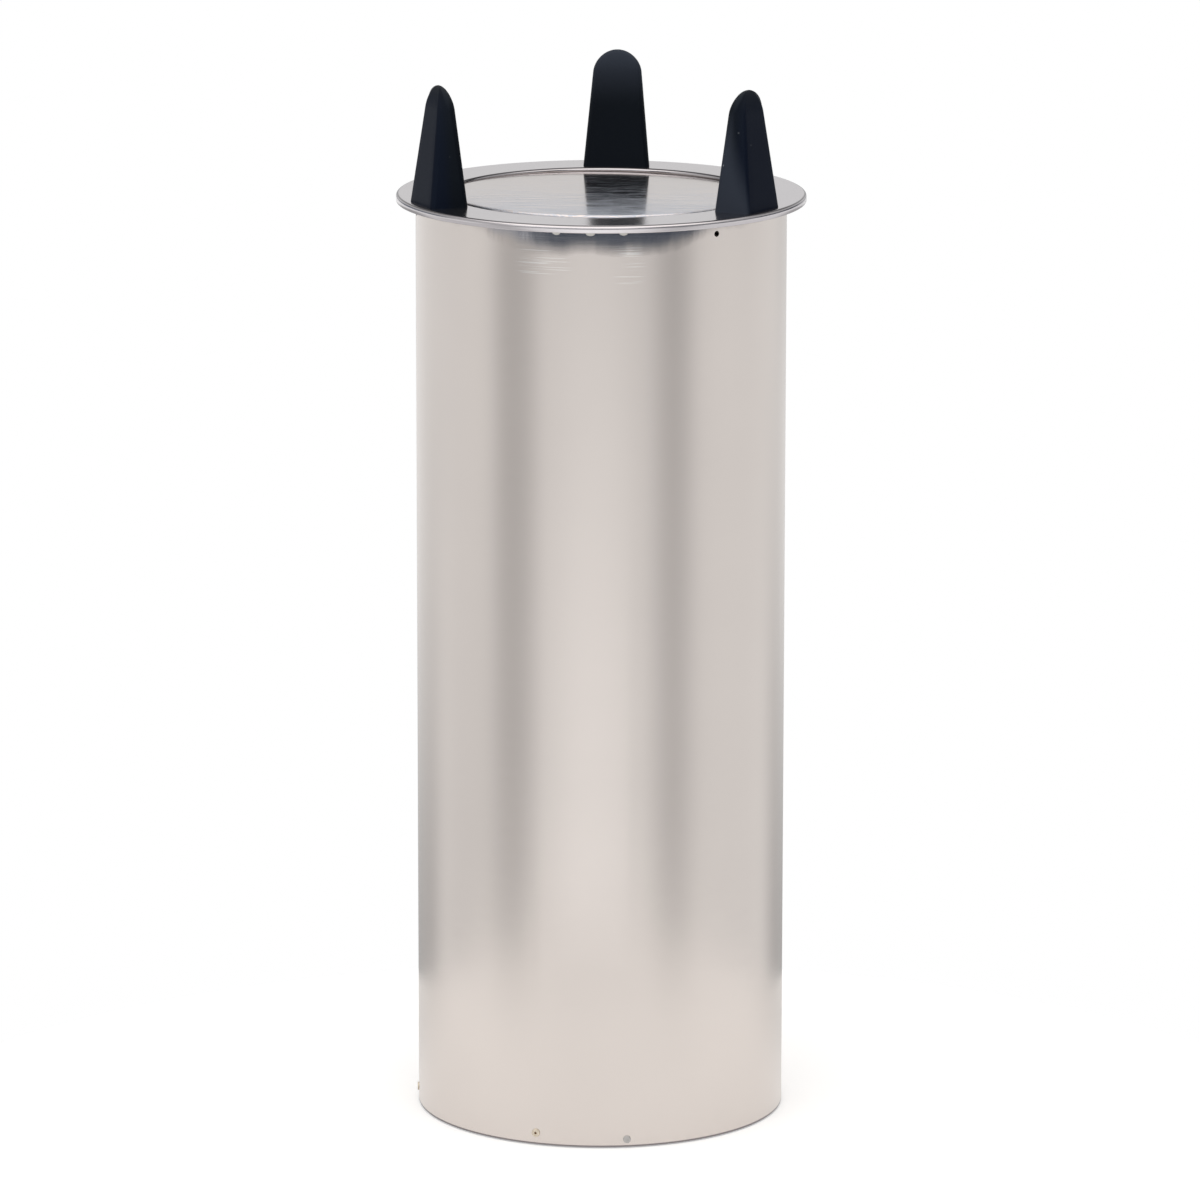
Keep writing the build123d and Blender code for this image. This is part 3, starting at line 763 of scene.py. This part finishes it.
def top_flange():
    mesh = bmesh.new()
    lathe(mesh, flange_profile(), FLANGE_STEPS, Matrix())
    made = piece("flange_ring", mesh, "flange_steel")
    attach(made, "housing")
    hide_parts("top_flange")


top_flange()

# Springs, in millimetres, and the section of the button at each of their ends, from its seat
SPRING_END_GAP = 4.0
SPRING_CONE = 8.0
COIL_RADIUS = 5.3
COIL_NECK = 1.0
COIL_PITCH = 1.5
COIL_STEPS = 9
WIRE_RADIUS = 0.7
WIRE_SIDES = 5
BUTTON = ((0, 2.4), (3.6, 2.4), (4.3, 1.7), (4.3, 0), (1.6, 0), (1.6, -7.4), (0, -7.4))
BUTTON_STEPS = 16


def wire_tube(mesh, path, radius, sides, turn):
    """Round wire along a path about the upright axis, placed by a matrix."""
    rings = []
    for i, point in enumerate(path):
        along = (path[min(i + 1, len(path) - 1)] - path[max(i - 1, 0)]).normalized()
        out = Vector((point.x, point.y, 0.0))
        out = (out - along * out.dot(along)).normalized()
        side = along.cross(out)
        offsets = [(out * math.cos(angle) + side * math.sin(angle)) * radius for angle in round_angles(sides)]
        rings.append([turn @ (point + offset) for offset in offsets])
    rows = skin(mesh, rings)
    mesh.faces.new(rows[0])
    mesh.faces.new(list(reversed(rows[-1])))


def spring(mesh, turn):
    """Extension spring with coned ends, hung by a button at each end."""
    top, bottom = HANGER_SEAT - SPRING_END_GAP, RING_TOP + SPRING_END_GAP
    turns = (top - bottom) / COIL_PITCH
    path = []
    for i in range(int(turns * COIL_STEPS) + 1):
        z = top - COIL_PITCH * i / COIL_STEPS
        grown = max(min(top - z, z - bottom, SPRING_CONE) / SPRING_CONE, 0.0)
        reach = COIL_NECK + (COIL_RADIUS - COIL_NECK) * grown
        angle = 2 * math.pi * i / COIL_STEPS
        path.append(Vector((reach * math.cos(angle), reach * math.sin(angle), z)) * MM)
    wire_tube(mesh, path, WIRE_RADIUS * MM, WIRE_SIDES, turn)
    lathe(mesh, [(r, HANGER_SEAT + HANGER_SHEET + z) for r, z in BUTTON], BUTTON_STEPS, turn)
    lathe(mesh, [(r, RING_BOTTOM - z) for r, z in BUTTON], BUTTON_STEPS, turn)


for number, angle in enumerate(SPRING_ANGLES, start=1):
    coils = bmesh.new()
    for offset in SPRING_OFFSETS:
        spring(coils, about(angle) @ Matrix.Translation((SPRING_RADIUS * MM, offset * MM, 0)))
    wound = piece("wound_springs_%d" % number, coils, "spring_wire")
    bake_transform(wound)
    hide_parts("spring_set_%d" % number)

# Spots of sealant under the flange's lip: direction from the front in degrees, width, and drop
SEALANT_SPOTS = ((-12.4, 6.2, 1.8), (-3.0, 7.2, 2.1), (6.1, 6.4, 1.8))
SEALANT_HALF = 0.9
SEALANT_SEGMENTS = 16
SEALANT_RINGS = 10


def sealant_spots():
    """Rounded drips that have run down under the front of the lip, wider than they are deep."""
    mesh = bmesh.new()
    under_lip = Matrix.Translation(((FLANGE_RADIUS - SEALANT_HALF) * MM, 0, FLANGE_LIP_BOTTOM * MM))
    for azimuth, width, drop in SEALANT_SPOTS:
        squeeze = Matrix.Diagonal((SEALANT_HALF * MM, width / 2 * MM, drop * MM, 1.0))
        spot = about(azimuth - 90) @ under_lip @ squeeze
        bmesh.ops.create_uvsphere(
            mesh, u_segments=SEALANT_SEGMENTS, v_segments=SEALANT_RINGS, radius=1.0, matrix=spot
        )
    made = piece("sealant_spots", mesh, "sealant")
    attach(made, "housing")


sealant_spots()

# Broken mandrels left in the rivets at the foot, in millimetres
STUB_CLEARANCE = 0.05
STUB_INSET = 1.3
STUB_SHOULDER = 1.7
STUB_LENGTH = 2.0
STUB_TIP = 0.6
STUB_STEPS = 20


def mandrel_stubs():
    mesh = bmesh.new()
    radius = MANDREL_HOLE / 2 - STUB_CLEARANCE
    tip = radius * STUB_TIP
    stub = ((0, 0.0), (radius, 0.0), (radius, STUB_SHOULDER), (tip, STUB_LENGTH), (0, STUB_LENGTH))
    lying = Matrix.Rotation(math.radians(90), 4, "Y")
    inside = Matrix.Translation(((SHIELD_RADIUS - STUB_INSET) * MM, 0, RIVET_HEIGHT * MM))
    for partner in (0.0, RIVET_PARTNER_TURN):
        for angle in RIVET_ANGLES:
            lathe(mesh, stub, STUB_STEPS, about(angle + partner) @ inside @ lying)
    made = piece("mandrel_stubs", mesh, "rust")
    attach(made, "housing")


mandrel_stubs()

# Floor, in metres, with its glow, and the shares of the glow that metal sees in front and behind; the smaller
# share behind is painted shade for the object's shadow there
FLOOR_LEVEL = -0.0011
FLOOR_MIDDLE = -0.19
FLOOR_RINGS = (0.02, 0.2, 0.4, 0.6)
FLOOR_STEPS = 96
FLOOR_GLOW = 0.3
FLOOR_BACK = (0.0, 0.25)
FLOOR_SEEN = (0.8, 0.2)
PAPER_FIBRE = 60.0
PAPER_DARK = 0.79
PAPER_PALE = 0.81
PAPER_ROUGHNESS = 0.9
PAPER_SPECULAR = 0.1
WHITE = (1.0, 1.0, 1.0, 1.0)


def unlit(tree):
    """One for rays that show the white background: to the eye, in metal and through glass. The second
    value leaves out metal."""
    rays = node(tree, "ShaderNodeLightPath").outputs
    direct = larger(tree, rays["Is Camera Ray"], rays["Is Transmission Ray"])
    return larger(tree, direct, rays["Is Glossy Ray"]), direct


def floor_material():
    """Pale paper that shows white where no shadow falls."""
    made = Finish("floor_paper")
    tree, at = made.tree, made.at
    fibre = noise(tree, at.where, scale=PAPER_FIBRE, detail=3.0)
    tone = ramp(tree, fibre, (LOW, grey(PAPER_DARK)), (HIGH, grey(PAPER_PALE)))
    tree.links.new(tone, made.shader.inputs["Base Color"])
    made.put("Roughness", PAPER_ROUGHNESS)
    made.put("Specular IOR Level", PAPER_SPECULAR)
    made.put("Emission Color", WHITE)
    everywhere, direct = unlit(tree)
    # Painted shade: metal sees less glow from the floor behind the object
    seen = larger(tree, step(tree, at.y, *FLOOR_BACK, *FLOOR_SEEN), direct)
    tree.links.new(times(tree, everywhere, seen, FLOOR_GLOW), made.shader.inputs["Emission Strength"])
    return made.material


def floor():
    mesh = bmesh.new()
    rings = []
    for radius in FLOOR_RINGS:
        rings.append([
            Vector((radius * math.cos(angle), radius * math.sin(angle) + FLOOR_MIDDLE, FLOOR_LEVEL))
            for angle in round_angles(FLOOR_STEPS)
        ])
    rows = skin(mesh, rings)
    mesh.faces.new(rows[0])
    made = add_object("floor", mesh, floor_material())


floor()

# Studio: a white surround with darker parts, which lights the object and which the steel reflects
SURROUND = grey(0.98)
STUDIO_PARTS = (
    ("upper walls", grey(0.45), (-180, 180, 1), (4, 42, 4)),
    ("sides above the horizon", (0.05, 0.065, 0.085), (-180, 180, 1), (-2.5, 8, 3)),
    ("wall on the left", grey(0.6), (-96, -45, 8), (-2.5, 24, 4)),
    ("far wall on the left", (0.15, 0.18, 0.225), (-150, -98, 10), (-5, 9, 2)),
    ("far wall on the right", (0.05, 0.065, 0.085), (95, 150, 10), (-5, 9, 2)),
    ("room in front", grey(1.2), (-55, 26, 8), (10, 40, 3)),
    ("dark room in front", (0.04, 0.055, 0.08), (-34, 58, 9), (-5, 7.5, 2.5)),
    ("backdrop on the left", grey(0.76), (-235, -148, 12), (1, 24, 3)),
    ("backdrop on the right", grey(0.76), (148, 235, 12), (1, 24, 3)),
    ("floor on the left", grey(0.72), (-112, -58, 12), (-95, -14, 1.6)),
    ("floor on the right", grey(0.86), (48, 118, 12), (-95, -14.2, 1.4)),
    ("bright floor in front", grey(1.29), (-27, 17, 16), (-95, -11.4, 1.8)),
    ("dim floor far in front", grey(0.85), (-30, 22, 10), (-11.4, -5, 1.8)),
    ("dark flag on the left", grey(0.46), (-68, -40, 9), (-11.5, -2, 2)),
    ("foot of the left flag", grey(0.62), (-68, -46, 10), (-95, -11.5, 2)),
    ("dark flag on the right", grey(0.46), (35, 56, 11), (-11.5, -2, 2)),
    ("foot of the right flag", grey(0.67), (36, 56, 11), (-95, -11.5, 2)),
    ("far floor behind on the right", grey(0.76), (140, 200, 10), (-10.5, -2.5, 1.5)),
    ("dim floor behind on the left", grey(0.42), (-235, -122, 14), (-95, -13.4, 2)),
    ("dim floor behind on the right", grey(0.46), (130, 235, 14), (-95, -13, 2)),
    ("soft light overhead", (1.64, 1.6, 1.55), (-180, 180, 1), (60, 95, 8)),
    ("soft light over the camera", (1.64, 1.6, 1.55), (-85, 85, 15), (38, 95, 7)),
)
WHOLE_TURN = 360
DEGREES = 180 / math.pi


def studio():
    """World of soft-edged parts, in which later parts cover earlier ones.

    Each part has its colour, its directions from the front in degrees, positive to the right, with the
    softness of their ends, and its heights from the horizon with the softness of theirs."""
    world = bpy.data.worlds.new("studio")
    scene.world = world
    world.use_nodes = True
    tree = world.node_tree
    tree.nodes.clear()
    direction = node(tree, "ShaderNodeTexCoord").outputs["Generated"]
    x, y, z = node(tree, "ShaderNodeSeparateXYZ", Vector=direction).outputs
    azimuth = times(tree, math_node(tree, "ARCTAN2", x, times(tree, y, -1.0)), DEGREES)
    height = times(tree, math_node(tree, "ARCSINE", z), DEGREES)
    light = SURROUND
    for title, colour, (left, right, soft), (bottom, top, soft_height) in STUDIO_PARTS:
        mask = window(tree, height, bottom, top, soft_height)
        if right - left < WHOLE_TURN:
            mask = times(tree, mask, window(tree, azimuth, left, right, soft))
        light = blend_colour(tree, mask, light, colour)
        light.node.label = title
    surround = node(tree, "ShaderNodeBackground", Color=light, Strength=1.0)
    white = node(tree, "ShaderNodeBackground", Color=WHITE, Strength=1.0)
    direct = unlit(tree)[1]
    mixed = node(tree, "ShaderNodeMixShader", i0=direct, i1=surround.outputs[0], i2=white.outputs[0])
    output = node(tree, "ShaderNodeOutputWorld")
    tree.links.new(mixed.outputs[0], output.inputs["Surface"])


studio()

# Camera: its focal length in pixels of the photograph, its place in metres, and its angles in degrees
PHOTO_WIDTH = 1200
FOCAL_PIXELS = 7600.0
SENSOR_WIDTH = 36.0
CAMERA_PLACE = (-0.0021, -5.841, 1.6881)
CAMERA_DOWN = 12.389
CAMERA_ROLL = -0.067
CAMERA_CLIP_END = 60.0


def camera():
    data = bpy.data.cameras.new("camera")
    data.sensor_fit = "HORIZONTAL"
    data.sensor_width = SENSOR_WIDTH
    data.lens = FOCAL_PIXELS / PHOTO_WIDTH * SENSOR_WIDTH
    data.clip_end = CAMERA_CLIP_END
    made = bpy.data.objects.new("camera", data)
    scene.collection.objects.link(made)
    made.location = CAMERA_PLACE
    made.rotation_euler = (math.radians(90 - CAMERA_DOWN), math.radians(CAMERA_ROLL), 0)
    scene.camera = made


camera()

scene.view_settings.view_transform = "Standard"
